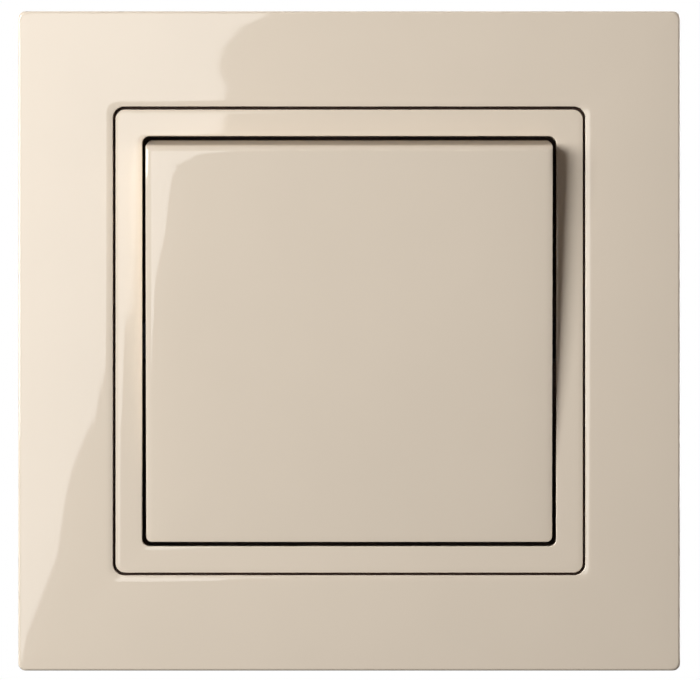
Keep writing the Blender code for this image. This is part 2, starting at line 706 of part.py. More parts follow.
def support_plate(look):
    bm = bmesh.new()
    prism(bm, "Y", rounded((PLATE_HALF, PLATE_HALF), PLATE_CORNER), -PLATE_THICKNESS, 0)
    made = finish("support_plate", bm, look)
    cuts = bmesh.new()
    through = (-PLATE_THICKNESS - BEYOND, BEYOND)
    prism(cuts, "Y", rounded(PLATE_WINDOW, PLATE_WINDOW_CORNER, steps=3), *through)
    for facing in (0, 90, 180, 270):
        prism(cuts, "Y", arc_slot(FIXING_RADIUS, facing, SLOT_SWEEP, SLOT_WIDTH), *through)
    for x, z in screw_places():
        prism(cuts, "Y", circle((x, z), SCREW_HOLE, 12), *through)
    for side in (-1, 1):
        prism(cuts, "Y", circle((side * CLAW_SCREW_X, 0), CLAW_SCREW_HOLE, 14), *through)
        for z in (-FIXING_PLACE, FIXING_PLACE):
            prism(cuts, "Y", circle((side * FIXING_PLACE, z), FIXING_HOLE, 12), *through)
        inward, outward = HOOK_SLOT_PLAY
        for x in (HOOK_X, mirrored(HOOK_X)):
            z = sorted((side * (HOOK_Z[0] - inward), side * (HOOK_Z[1] + outward)))
            box(cuts, (x[0] - inward, x[1] + inward), through, z)
    combine(made, cuts, "DIFFERENCE")


def claw(name, look, side):
    """A bent steel strip: a foot across the claw screw and a leg to the rear with three teeth."""
    bm = bmesh.new()
    outline = [(side * x, y) for x, y in CLAW_OUTLINE]
    prism(bm, "Z", outline, -CLAW_HALF_WIDTH, CLAW_HALF_WIDTH)
    made = finish(name, bm, look, at=(side * CLAW_SCREW_X, CLAW_HINGE_Y, 0))
    cuts = bmesh.new()
    long, short = CLAW_HOLE
    oval = [(long / short * x, z) for x, z in circle((0, 0), short, 14)]
    prism(cuts, "Y", oval, -2 * BEYOND, 2 * BEYOND)
    for z in CLAW_TEETH_Z:
        notch = [(side * x, z + beside) for x, beside in CLAW_NOTCH]
        prism(cuts, "Y", notch, *CLAW_NOTCH_Y)
    combine(made, cuts, "DIFFERENCE")


def claws(look):
    front = -PLATE_THICKNESS - GAP
    head = (CLAW_SCREW_HEAD[0], front - CLAW_SCREW_HEAD[1], front)
    shank = (CLAW_SCREW_SHANK[0], front, CLAW_SCREW_SHANK[1])
    for name, side in (("left", -1), ("right", 1)):
        claw(f"claw_{name}", look, side)
        place = (side * CLAW_SCREW_X, 0)
        screw(f"claw_screw_{name}", look, place, head, shank, CLAW_SCREW_SLOT)


def terminals(plated, brass):
    """For each terminal, the pressure plate and the screw that draws it to the strip."""
    for name, side in (("line", -1), ("load", 1)):
        x = side * TERMINAL_X
        bm = bmesh.new()
        centre = (x, TERMINAL_Z)
        prism(bm, "Y", rounded(CLAMP_HALF, CLAMP_CORNER, centre, steps=2), *CLAMP_Y)
        made = finish(f"terminal_clamp_{name}", bm, plated)
        hole = bmesh.new()
        prism(hole, "Y", circle(centre, TERMINAL_HOLE, 12), CLAMP_Y[0] - BEYOND, CLAMP_Y[1] + BEYOND)
        combine(made, hole, "DIFFERENCE")
        rear = CLAMP_Y[1] + GAP
        head = (TERMINAL_HEAD[0], rear + TERMINAL_HEAD[1], rear)
        shank = (TERMINAL_SHANK[0], rear, TERMINAL_SHANK[1])
        screw(f"terminal_screw_{name}", brass, centre, head, shank, TERMINAL_SLOT)


def main():
    clear_scene()
    ivory = material("ivory_plastic", (0.78, 0.68, 0.55), 0.22)
    white = material("white_plastic", (0.80, 0.79, 0.75), 0.40)
    grey = material("grey_plastic", (0.42, 0.43, 0.44), 0.45)
    zinc = material("galvanised_steel", (0.62, 0.63, 0.64), 0.38, 1.0)
    plated = material("plated_steel", (0.70, 0.68, 0.62), 0.28, 1.0)
    brass = material("brass", (0.80, 0.58, 0.28), 0.30, 1.0)
    silver = material("silver", (0.90, 0.89, 0.86), 0.20, 1.0)

    outer_frame(ivory)
    inner_bezel(ivory)
    rocker = pivot("rocker_pivot", (0, PIVOT_Y, 0), REST_TILT)
    rocker_key(ivory, rocker)
    rocker_cradle(white, rocker)
    plunger(white, rocker)
    plunger_spring(plated, rocker)
    blade = pivot("blade_pivot", (0, BLADE_PIVOT_Y, 0), BLADE_REST)
    moving_contact(brass, silver, blade)
    common_contact(brass)
    fixed_contact(brass, silver)
    mechanism_base(grey)
    mechanism_cover(white)
    assembly_screws(plated)
    support_plate(zinc)
    claws(zinc)
    terminals(plated, brass)


main()
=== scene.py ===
"""Looks for the rocker wall switch: a glossy ivory frame, bezel and key over the mechanism.

Lengths are in millimetres and angles in degrees, unless a comment says otherwise.
+Z is up and the front faces -Y. A (half) is half a width along X and half a height along Z.
"""

from math import cos, pi, radians, sin, tan

import bmesh
import bpy
from mathutils import Matrix, Vector


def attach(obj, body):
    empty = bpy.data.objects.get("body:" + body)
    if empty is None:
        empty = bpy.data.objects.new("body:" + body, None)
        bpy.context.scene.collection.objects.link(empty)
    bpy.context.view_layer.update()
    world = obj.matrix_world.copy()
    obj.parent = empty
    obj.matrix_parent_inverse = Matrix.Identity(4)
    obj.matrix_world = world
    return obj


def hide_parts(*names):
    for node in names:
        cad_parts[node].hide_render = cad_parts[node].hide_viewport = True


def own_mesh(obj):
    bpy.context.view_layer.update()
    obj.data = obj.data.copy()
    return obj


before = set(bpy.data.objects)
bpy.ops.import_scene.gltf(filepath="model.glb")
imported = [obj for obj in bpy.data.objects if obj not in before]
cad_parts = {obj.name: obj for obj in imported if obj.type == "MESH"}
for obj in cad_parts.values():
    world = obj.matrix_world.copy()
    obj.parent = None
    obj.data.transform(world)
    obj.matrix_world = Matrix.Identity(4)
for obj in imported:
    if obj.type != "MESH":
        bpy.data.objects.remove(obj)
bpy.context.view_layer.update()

MM = 0.001

# How finely curves are divided, and how edges are shaded
CORNER_STEPS = 10
SIDE_STEPS = 20
FILLET_STEPS = 8
SHARP_ANGLE = 35
BEVEL_ANGLE = 40
BEVEL_SEGMENTS = 2
SAME_PLACE = 1e-6  # in metres
FLAT_ANGLE = 1
NEARLY_ROUND = 0.99  # a corner of this share of a square's half makes it a circle

# Cover frame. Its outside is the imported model's, its opening a little finer
FRAME_HALF = (40.5, 40.35)
FRAME_FRONT = -9.5
FRAME_WALL = 1.8
FRAME_OPENING = (28.90, 28.68)
FRAME_LIP_REAR = -5.2
FRAME_LIP_WALL = 1.5
FRAME_CORNERS = (0.9, 1.4)  # at the outside and at the opening
FRAME_OUTER_FILLET = 0.3
FRAME_CHAMFER = 0.15
FRAME_INNER_CHAMFER = 0.3
FRAME_CROWN = 0.05
FRAME_FACE_STEPS = 14
FRAME_LIP = (0.9, 0.075)  # width and drop
LIP_RADIUS = 0.12
LIP_TURN = (75, 0)
LIP_TURN_STEPS = 4
RIB_PLACE = 20.0
RIB_HALF = 0.7
RIB_BURIED = 0.6
RIB_REAR = -0.5
PLATE_HALF = 35.5
GAP = 0.3

# Inner bezel, and the hooks that hold it in the plate
BEZEL_HALF = (28.60, 28.35)
BEZEL_FRONT = -9.2
BEZEL_REAR = -3.7
BEZEL_OPENING = (25.33, 25.10)
BEZEL_DROP = -0.03  # how far below the frame's middle it sits
BEZEL_FLANGE_OUT = 2.6
BEZEL_FLANGE_FRONT = -4.9
BEZEL_FLANGE_CORNER = 2.0
BEZEL_CORNERS = (1.2, 0.9)  # at the outside and at the opening
BEZEL_CHAMFER = 0.1
BEZEL_INNER_CHAMFER = 0.2
# (inset, drop of the face there) along the bezel's outer edge
BEZEL_EDGE = (
    (0.0, 0.12),
    (0.02, 0.07),
    (0.04, 0.045),
    (0.2, 0.023),
    (0.4, 0.005),
    (0.6, 0.0),
)
BEZEL_SLOPE = 0.018
BEZEL_FACE_STEPS = 4
BEZEL_LIP = (0.55, 0.008)  # width and drop
HOOK_X = (6.0, 11.0)
HOOK_Z = (25.3, 26.5)
HOOK_BURIED = 0.8
HOOK_BARB = 0.8
HOOK_BARB_END = 0.3
HOOK_END = 1.3
HOOK_END_INSET = 0.2

# Dark strip in the gap between the bezel and the frame: painted shade that makes the gap read dark
GAP_STRIP_PLAY = 0.05
GAP_STRIP_SPAN = (-8.75, -5.4)

# Black ring on the support plate, painted shade for the gap round the key, from (half, corner) to
# (half, corner)
GAP_SHADE_FILM_INSIDE = (23.0, 1.0)
GAP_SHADE_FILM_OUTSIDE = (27.8, 1.5)
GAP_SHADE_FILM_FRONT = -1.4
GAP_SHADE_FILM_MIDDLE = -1.32
GAP_SHADE_FILM_REAR = -1.25
GAP_SHADE_FILM_ROUND = 0.1

# Key: lengths along Y are counted from its pivot
PIVOT_Y = -6.5
REST_TILT = 4.0
KEY_HALF = (24.85, 24.5)
KEY_RAISE = 0.1  # the key's centre above its pivot
KEY_FACE = -4.22
KEY_REAR = 2.3
KEY_WALL = 1.6
KEY_CORNER = 0.7
KEY_INSIDE_CORNERS = (0.4, 0.5, 0.6)  # at the rear, at the ceiling and where the wall meets it
KEY_CHAMFER = 0.1
KEY_INNER_CHAMFER = 0.5
KEY_CROWN = (0.163, 0.065)  # fall towards the sides and towards the ends
KEY_CROWN_POWER = 8
# (distance from the edge, drop of the face there) along the key's edges
KEY_SIDE_EDGE = (
    (0.0, 0.12),
    (0.02, 0.07),
    (0.04, 0.046),
    (0.2, 0.03),
    (0.4, 0.012),
    (0.7, 0.002),
    (1.0, 0.0),
)
KEY_FOOT_EDGE = (
    (0.0, 0.13),
    (0.02, 0.075),
    (0.04, 0.05),
    (0.1, 0.035),
    (0.2, 0.025),
    (0.4, 0.01),
    (0.7, 0.0),
)
KEY_HEAD_EDGE = (
    (0.0, 4.9),
    (0.42, 0.62),
    (0.53, 0.4),
    (0.63, 0.25),
    (0.98, 0.04),
    (1.05, 0.012),
    (1.2, 0.0),
)
# Insets of the rings that the key's face is made of, close together where it bends
KEY_RINGS = (0, 0.02, 0.04, 0.07, 0.1, 0.15, 0.2, 0.3, 0.4, 0.45, 0.49, 0.53)
KEY_RINGS += (0.58, 0.63, 0.7, 0.8, 0.9, 0.98, 1.01, 1.05, 1.1, 1.2, 1.5, 2, 2.5)
KEY_RINGS += (3, 3.5, 4.5, 5.5, 6.5, 8, 10, 13, 16, 19, 22, 23)
CRADLE_HALF_Z = 15.0
CRADLE_REAR = -0.8
KEY_HOOK_HALF = 5
KEY_HOOK_BURIED = 0.8
KEY_HOOK_BARB = 0.7
KEY_HOOK_BARB_END = 0.6
KEY_HOOK_END = 0.9
KEY_HOOK_END_INSET = 0.3
KEY_HOOK_WALL = 1.5

# Moulded detail cut into the mechanism's base
CUT_BEYOND = 1  # how far a cutter stands out of the surface
BASE_HALF = 20.0
BASE_REAR = 24.0
MARK_DEPTH = 0.4
PANEL_HALF = (12.5, 5.5)
PANEL_MIDDLE = (0.0, 9.0)
PANEL_CORNER = 1.2
GAUGE_HALF = (5.0, 0.6)
GAUGE_MIDDLE = (0.0, -3.0)
GAUGE_END_HALF = (0.4, 1.4)
PIN_RADIUS = 1.5
PIN_PLACES = ((-16.0, -3.0), (16.0, -3.0), (-16.0, 16.0), (16.0, 16.0), (0.0, -14.5))
PIN_DEPTH = 0.25
WELL_RING = (4.1, 0.3)  # radius and depth
TERMINAL_PLACES = ((-9.5, -13.0), (9.5, -13.0))
GROOVE_HALF = 0.6
GROOVE_SPAN = (4.0, 21.0)
GROOVE_PLACES = (-13.5, -10.5, -7.5, 7.5, 10.5, 13.5)

# Camera
CAMERA_DISTANCE = 900.0
CAMERA_OFFSET = (0.1, 0.11)  # right and up
CAMERA_CLIP = (0.01, 20)  # in metres
VIEW_WIDTH = 85.65
SENSOR = 36.0

# Glowing panels: outline as (azimuth left, elevation) seen from the switch, distance,
# the direction that its middle lies in, and radiance
SOFTBOX = ((1.6, 12), (2.05, 9.5), (2.55, 8.8), (2.95, 7.4), (3.1, 5.9), (2.9, 4.4))
SOFTBOX += ((3.1, 0.8), (4.4, -1.85), (5.1, -2.2), (5.6, -2.6), (6.1, -3), (6.5, -3.5))
SOFTBOX += ((6.8, -4), (7.25, -5.1), (10.6, -7.8), (13, -8.5), (13, 12))
SIDE_PANEL = ((28, -2), (64, -2), (64, 27), (28, 27))
PANELS = (
    ("softbox", SOFTBOX, 420, (20, 0), 3.2),
    ("side_panel", SIDE_PANEL, 480, (45, 0), 11.3),
)
# Area lights: place and size in metres, power in watts
LIGHTS = (
    ("rear_key", (0.7, 0.9, 0.5), (1.2, 1.2), 9),
    ("right_fill", (1.2, 0.7, 0.25), (0.8, 0.8), 14),
    ("rear_fill", (-0.9, 0.8, 0.2), (1.2, 1.2), 5),
    ("rear_top", (0.1, 0.6, 1.1), (0.8, 0.8), 4),
)

# Floor and surroundings, lengths in metres
FLOOR_LEVEL = -0.2
FLOOR_CORNERS = ((-3.5, -5.0), (3.5, -5.0), (3.5, 2.8), (-3.5, 2.8))
FLOOR_TONES = ((0.80, 0.80, 0.79), (0.84, 0.84, 0.83))
FLOOR_GRAIN = 3
FLOOR_ROUGHNESS = 0.6
# The floor glows more with the distance from the switch: from, to, glow there and glow here
FLOOR_FADE = (0.4, 2.2, 0.4, 1.1)
FLOOR_IN_REFLECTIONS = (0.06, 0.055, 0.05, 1)
BACKDROP_SEEN = ((1, 1, 1, 1), 1.0)  # colour and strength
BACKDROP_FELT = ((1.0, 0.6, 0.38, 1), 0.05)


# --- Materials ---

NOISE_SPREAD = (0.3, 0.7)  # where a noise's dark and light ends are taken to be


class Look:
    """A material under construction: its nodes, and short ways to add and join them."""

    def __init__(self, name):
        self.made = bpy.data.materials.new(name)
        self.made.use_nodes = True
        self.nodes = self.made.node_tree.nodes
        self.links = self.made.node_tree.links
        self.shader = self.nodes["Principled BSDF"]
        self.where = self.nodes.new("ShaderNodeTexCoord").outputs["Object"]

    def join(self, start, end):
        self.links.new(start, end)

    def set(self, **values):
        for name, value in values.items():
            self.shader.inputs[name.replace("_", " ")].default_value = value

    def noise(self, scale, detail, stretch=None):
        node = self.nodes.new("ShaderNodeTexNoise")
        node.inputs["Scale"].default_value = scale
        node.inputs["Detail"].default_value = detail
        self.join(self.stretched(stretch), node.inputs["Vector"])
        return node.outputs["Fac"]

    def stretched(self, stretch):
        if not stretch:
            return self.where
        node = self.nodes.new("ShaderNodeMapping")
        node.inputs["Scale"].default_value = stretch
        self.join(self.where, node.inputs["Vector"])
        return node.outputs["Vector"]

    def cells(self, scale):
        node = self.nodes.new("ShaderNodeTexVoronoi")
        node.inputs["Scale"].default_value = scale
        self.join(self.where, node.inputs["Vector"])
        return node

    def ramp(self, value, stops):
        """Colours at places along a value, as (place, colour)."""
        node = self.nodes.new("ShaderNodeValToRGB")
        marks = node.color_ramp.elements
        while len(marks) < len(stops):
            marks.new(0.5)
        for mark, (place, colour) in zip(marks, stops):
            mark.position = place
            mark.color = (*colour, 1.0)
        self.join(value, node.inputs["Fac"])
        return node.outputs["Color"]

    def mottled(self, value, tones):
        """Two tones that follow a noise, whose middle values are the most common."""
        return self.ramp(value, list(zip(NOISE_SPREAD, tones)))

    def span(self, value, low, high):
        """A value from 0 to 1, brought between low and high."""
        node = self.nodes.new("ShaderNodeMapRange")
        node.inputs["To Min"].default_value = low
        node.inputs["To Max"].default_value = high
        self.join(value, node.inputs["Value"])
        return node.outputs["Result"]

    def bump(self, *layers):
        """Bump layers of (height, depth in metres, strength), each laid over the one before."""
        normal = None
        for height, depth, strength in layers:
            node = self.nodes.new("ShaderNodeBump")
            node.inputs["Distance"].default_value = depth
            node.inputs["Strength"].default_value = strength
            self.join(height, node.inputs["Height"])
            if normal:
                self.join(normal, node.inputs["Normal"])
            normal = node.outputs["Normal"]
        self.join(normal, self.shader.inputs["Normal"])

    def colour(self, output):
        self.join(output, self.shader.inputs["Base Color"])

    def roughness(self, output):
        self.join(output, self.shader.inputs["Roughness"])


def around(colour, spread):
    """A darker and a lighter version of a colour."""
    return [c * (1 - spread) for c in colour], [min(1.0, c * (1 + spread)) for c in colour]


def moulded(name, colour, rough, ripple, grain):
    """Moulded plastic: an almost even colour, a faint ripple in the surface and a finer grain."""
    look = Look(name)
    patches = look.noise(scale=60, detail=4)
    sheen = look.noise(scale=220, detail=3)
    waves = look.noise(scale=45, detail=1)
    grains = look.noise(scale=2600, detail=2)
    look.colour(look.mottled(patches, around(colour, spread=0.012)))
    look.roughness(look.span(sheen, low=rough * 0.85, high=rough * 1.2))
    look.bump((waves, ripple, 0.6), (grains, grain, 0.5))
    look.set(IOR=1.5)
    return look.made


def spangled(name, colour, rough):
    """Galvanised sheet: zinc crystals that differ in tone and in sheen."""
    look = Look(name)
    crystals = look.cells(scale=330)
    dark, light = around(colour, spread=0.07)
    tone = look.nodes.new("ShaderNodeSeparateColor")
    look.join(crystals.outputs["Color"], tone.inputs["Color"])
    grains = look.noise(scale=1500, detail=3)
    look.colour(look.ramp(tone.outputs["Red"], [(0.0, dark), (1.0, light)]))
    look.roughness(look.span(tone.outputs["Green"], low=rough * 0.9, high=rough * 1.12))
    look.bump((tone.outputs["Blue"], 1e-6, 0.4), (grains, 3e-6, 0.5))
    look.set(Metallic=1.0)
    return look.made


def worked(name, colour, rough, stretch=(1, 1, 1)):
    """Plated or rolled metal: a fine grain, drawn out where stretched, and an uneven sheen."""
    look = Look(name)
    patches = look.noise(scale=400, detail=4)
    sheen = look.noise(scale=900, detail=3, stretch=stretch)
    grains = look.noise(scale=2400, detail=2, stretch=stretch)
    look.colour(look.mottled(patches, around(colour, spread=0.07)))
    look.roughness(look.span(sheen, low=rough * 0.7, high=rough * 1.5))
    look.bump((grains, 2.5e-6, 0.6))
    look.set(Metallic=1.0)
    return look.made


# Plastics: colour, roughness, depths of the ripple and the grain in metres
IVORY = moulded("ivory_gloss", (0.80, 0.70, 0.575), 0.025, 1.0e-6, 1.0e-7)
WHITE = moulded("white_nylon", (0.74, 0.73, 0.69), 0.38, 4.0e-6, 3.0e-6)
GREY = moulded("grey_polyamide", (0.30, 0.31, 0.32), 0.42, 6.0e-6, 6.0e-6)
# Near-black brown plastic: painted shade, laid in the gaps round the bezel and the key so that they
# read dark
GAP_SHADE = moulded("painted_gap_shade", (0.03, 0.012, 0.006), 0.6, 6.0e-6, 6.0e-6)
# Metals: colour and roughness
ZINC = spangled("galvanised_sheet", (0.60, 0.61, 0.62), 0.34)
PLATED = worked("plated_screw_steel", (0.72, 0.69, 0.60), 0.26)
BRASS = worked("rolled_brass", (0.83, 0.60, 0.27), 0.24, stretch=(1, 6, 1))
# Claw screws: their metal is coloured near black as painted shade, so that the heads seen through
# the gap round the key read dark
CLAW_SCREW_SHADE = worked("claw_screw_painted_shade", (0.035, 0.034, 0.036), 0.35)
SILVER = worked("silver_rivet", (0.90, 0.89, 0.86), 0.18)


# --- Meshes ---


def rounded(half, corner):
    """Points round a rectangle with arcs for corners, its sides divided evenly."""
    points = []
    corners = ((1, 1, 0), (-1, 1, 90), (-1, -1, 180), (1, -1, 270))
    arcs = []
    for sx, sz, start in corners:
        arc = []
        for step in range(CORNER_STEPS + 1):
            a = radians(start + 90 * step / CORNER_STEPS)
            x = sx * (half[0] - corner) + corner * cos(a)
            z = sz * (half[1] - corner) + corner * sin(a)
            arc.append((x, z))
        arcs.append(arc)
    for arc, following in zip(arcs, arcs[1:] + arcs[:1]):
        points += arc
        (x0, z0), (x1, z1) = arc[-1], following[0]
        for step in range(1, SIDE_STEPS):
            t = step / SIDE_STEPS
            points.append((x0 + (x1 - x0) * t, z0 + (z1 - z0) * t))
    return points


def fillet(centre, radius, start, end, steps=FILLET_STEPS):
    """(inset, y) points along a fillet's arc, angles in degrees from +inset towards -y."""
    points = []
    for step in range(steps + 1):
        a = radians(start + (end - start) * step / steps)
        points.append((centre[0] + radius * cos(a), centre[1] - radius * sin(a)))
    return points


def rolled(end, edge, lip, slope=0.0, steps=FILLET_STEPS):
    """(inset, y) points of a lip that rolls off gently and turns sharply at its end."""
    width, drop = lip
    run = width - LIP_RADIUS
    points = []
    for step in range(steps + 1):
        t = step / steps
        points.append((end - width + run * t, edge + slope * run * t + drop * t * t))
    y = points[-1][1] + LIP_RADIUS
    return points + fillet((end - LIP_RADIUS, y), LIP_RADIUS, *LIP_TURN, LIP_TURN_STEPS)


def bridged(bm, rings, closed):
    """Faces between each ring and the next, and back to the first if closed."""
    pairs = list(zip(rings, rings[1:]))
    if closed:
        pairs.append((rings[-1], rings[0]))
    for first, second in pairs:
        count = len(first)
        for i in range(count):
            j = (i + 1) % count
            bm.faces.new((first[i], first[j], second[j], second[i]))


def lofted(bm, outlines, closed, shape=None):
    """Joins rings made of (half, corner, y, shaped) outlines.

    Where shaped is true, shape(x, z) adds to the ring's y.
    """
    rings = []
    for half, corner, y, shaped in outlines:
        ring = []
        for x, z in rounded(half, corner):
            lift = shape(x, z) if shape and shaped else 0.0
            ring.append(bm.verts.new((x, y + lift, z)))
        rings.append(ring)
    bridged(bm, rings, closed)
    return rings


def box(bm, x, y, z):
    """A block between (low, high) limits, for a rib or a cutter."""
    made = bmesh.ops.create_cube(bm, size=1.0)["verts"]
    size = Vector((x[1] - x[0], y[1] - y[0], z[1] - z[0]))
    bmesh.ops.scale(bm, vec=size, verts=made)
    middle = Vector((x[0] + x[1], y[0] + y[1], z[0] + z[1])) / 2
    bmesh.ops.translate(bm, vec=middle, verts=made)


def prism_x(bm, outline, start, end):
    """Extrudes a (y, z) outline along X."""
    rings = [[bm.verts.new((x, y, z)) for y, z in outline] for x in (start, end)]
    bridged(bm, rings, False)
    for ring in rings:
        bm.faces.new(ring)


def object_of(name, bm):
    """Turns a bmesh into an object of the scene."""
    mesh = bpy.data.meshes.new(name)
    bm.to_mesh(mesh)
    bm.free()
    made = bpy.data.objects.new(name, mesh)
    bpy.context.scene.collection.objects.link(made)
    return made


def to_metres(bm):
    """Turns a bmesh's normals outwards and its millimetres into metres."""
    bmesh.ops.recalc_face_normals(bm, faces=bm.faces)
    bmesh.ops.scale(bm, vec=(MM, MM, MM), verts=bm.verts)


def piece(name, bm, look, body, replaced=(), at=(0, 0, 0), tilt=0.0):
    """Makes an object of a bmesh in millimetres, gives it its look and hangs it on a body."""
    to_metres(bm)
    bm.transform(Matrix.Translation(Vector(at) * MM) @ Matrix.Rotation(radians(tilt), 4, "X"))
    made = object_of(name, bm)
    dress(made, look)
    settle(made, body, replaced)


def dress(made, look, bevel=0.0):
    made.data.materials.clear()
    made.data.materials.append(look)
    made.data.shade_smooth()
    made.data.set_sharp_from_angle(angle=radians(SHARP_ANGLE))
    if bevel:
        step = made.modifiers.new("Edges", "BEVEL")
        step.width = bevel * MM
        step.segments = BEVEL_SEGMENTS
        step.limit_method = "ANGLE"
        step.angle_limit = radians(BEVEL_ANGLE)
        step.harden_normals = False
    step = made.modifiers.new("Normals", "WEIGHTED_NORMAL")
    step.keep_sharp = not bevel


def settle(made, body, replaced):
    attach(made, body)
    if replaced:
        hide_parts(*replaced)


def grown(half, by):
    return (half[0] + by, half[1] + by)


def between(first, second, t):
    return tuple(a + (b - a) * t for a, b in zip(first, second))


# --- Front pieces ---


def outer_frame():
    width = FRAME_HALF[0] - FRAME_OPENING[0]
    ceiling = FRAME_FRONT + FRAME_WALL
    edge = FRAME_FRONT + FRAME_CROWN
    r = FRAME_OUTER_FILLET
    lip_back = width - FRAME_LIP_WALL
    small, large = FRAME_CHAMFER, FRAME_INNER_CHAMFER
    profile = [(small, 0.0), (0.0, -small)]
    profile += fillet((r, edge + r), r, 180, 90)
    for step in range(1, FRAME_FACE_STEPS):
        t = step / FRAME_FACE_STEPS
        inset = r + (width - FRAME_LIP[0] - r) * t
        profile.append((inset, edge - FRAME_CROWN * (1 - (2 * t - 1) ** 2)))
    profile += rolled(width, edge, FRAME_LIP)
    profile += [
        (width, FRAME_LIP_REAR - small),
        (width - small, FRAME_LIP_REAR),
        (lip_back + small, FRAME_LIP_REAR),
        (lip_back, FRAME_LIP_REAR - small),
        (lip_back, ceiling + large),
        (lip_back - large, ceiling),
        (FRAME_WALL + large, ceiling),
        (FRAME_WALL, ceiling + large),
        (FRAME_WALL, -small),
        (FRAME_WALL - small, 0.0),
    ]
    bm = bmesh.new()
    outlines = []
    for inset, y in profile:
        t = inset / width
        corner = FRAME_CORNERS[0] + (FRAME_CORNERS[1] - FRAME_CORNERS[0]) * t
        outlines.append((between(FRAME_HALF, FRAME_OPENING, t), corner, y, False))
    lofted(bm, outlines, closed=True)
    rise = (ceiling - RIB_BURIED, RIB_REAR)
    ends = (PLATE_HALF + GAP, FRAME_HALF[0] - FRAME_WALL / 2)
    for place in (-RIB_PLACE, RIB_PLACE):
        for side in (-1, 1):
            reach = sorted((side * ends[0], side * ends[1]))
            span = (place - RIB_HALF, place + RIB_HALF)
            box(bm, reach, rise, span)
            box(bm, span, rise, reach)
    piece("frame_shell", bm, IVORY, "chassis", ["outer_frame"])


def bezel_hook(side):
    """(y, z) outline of a hook that goes through the plate, above or below."""
    inner, outer = HOOK_Z
    outline = (
        (BEZEL_REAR - HOOK_BURIED, inner),
        (GAP, inner),
        (GAP, inner - HOOK_BARB),
        (GAP + HOOK_BARB_END, inner - HOOK_BARB),
        (GAP + HOOK_END, inner + HOOK_END_INSET),
        (GAP + HOOK_END, outer),
        (BEZEL_REAR - HOOK_BURIED, outer),
    )
    return [(y, side * z) for y, z in outline]


def inner_bezel():
    width = BEZEL_HALF[0] - BEZEL_OPENING[0]
    edge = BEZEL_FRONT
    out = -BEZEL_FLANGE_OUT
    small, large = BEZEL_CHAMFER, BEZEL_INNER_CHAMFER
    profile = [
        (out + small, BEZEL_REAR),
        (out, BEZEL_REAR - small),
        (out, BEZEL_FLANGE_FRONT + small),
        (out + small, BEZEL_FLANGE_FRONT),
        (-large, BEZEL_FLANGE_FRONT),
        (0.0, BEZEL_FLANGE_FRONT - large),
    ]
    profile += [(inset, edge + drop) for inset, drop in BEZEL_EDGE]
    flat_start = BEZEL_EDGE[-1][0]
    lip_start = width - BEZEL_LIP[0]
    for step in range(1, BEZEL_FACE_STEPS):
        inset = flat_start + (lip_start - flat_start) * step / BEZEL_FACE_STEPS
        profile.append((inset, edge + BEZEL_SLOPE * (inset - flat_start)))
    lip_edge = edge + BEZEL_SLOPE * (lip_start - flat_start)
    profile += rolled(width, lip_edge, BEZEL_LIP, BEZEL_SLOPE)
    profile += [(width, BEZEL_REAR - small), (width - small, BEZEL_REAR)]
    bm = bmesh.new()
    outlines = []
    for inset, y in profile:
        t = inset / width
        corner = BEZEL_CORNERS[0] + (BEZEL_CORNERS[1] - BEZEL_CORNERS[0]) * max(0.0, t)
        if inset < 0:
            corner = BEZEL_FLANGE_CORNER
        outlines.append((between(BEZEL_HALF, BEZEL_OPENING, t), corner, y, False))
    lofted(bm, outlines, closed=True)
    for x in (HOOK_X, (-HOOK_X[1], -HOOK_X[0])):
        for side in (-1, 1):
            prism_x(bm, bezel_hook(side), *x)
    where = (0, 0, BEZEL_DROP)
    piece("bezel_shell", bm, IVORY, "chassis", ["inner_bezel"], at=where)


def read_off(pairs, where):
    """The value at a place along (place, value) pairs, joined by straight lines."""
    for (start, first), (end, second) in zip(pairs, pairs[1:]):
        if where <= end:
            return first + (second - first) * (where - start) / (end - start)
    return pairs[-1][1]


def key_shape(x, z):
    """How far the key's face falls back from its middle."""
    crown = KEY_CROWN[0] * (x / KEY_HALF[0]) ** KEY_CROWN_POWER
    crown += KEY_CROWN[1] * (z / KEY_HALF[1]) ** KEY_CROWN_POWER
    side = read_off(KEY_SIDE_EDGE, max(0.0, KEY_HALF[0] - abs(x)))
    head = read_off(KEY_HEAD_EDGE, max(0.0, KEY_HALF[1] - z))
    foot = read_off(KEY_FOOT_EDGE, max(0.0, KEY_HALF[1] + z))
    return crown + side + head + foot


def key_hook(side, ceiling):
    """(y, z) outline of a hook that holds the key on its cradle, above or below."""
    inner = CRADLE_HALF_Z
    outer = inner + KEY_HOOK_WALL
    catch = CRADLE_REAR + GAP
    outline = (
        (ceiling - KEY_HOOK_BURIED, inner + GAP),
        (catch, inner + GAP),
        (catch, inner - KEY_HOOK_BARB),
        (catch + KEY_HOOK_BARB_END, inner - KEY_HOOK_BARB),
        (catch + KEY_HOOK_END, inner + KEY_HOOK_END_INSET),
        (catch + KEY_HOOK_END, outer),
        (ceiling - KEY_HOOK_BURIED, outer),
    )
    return [(y, side * z) for y, z in outline]


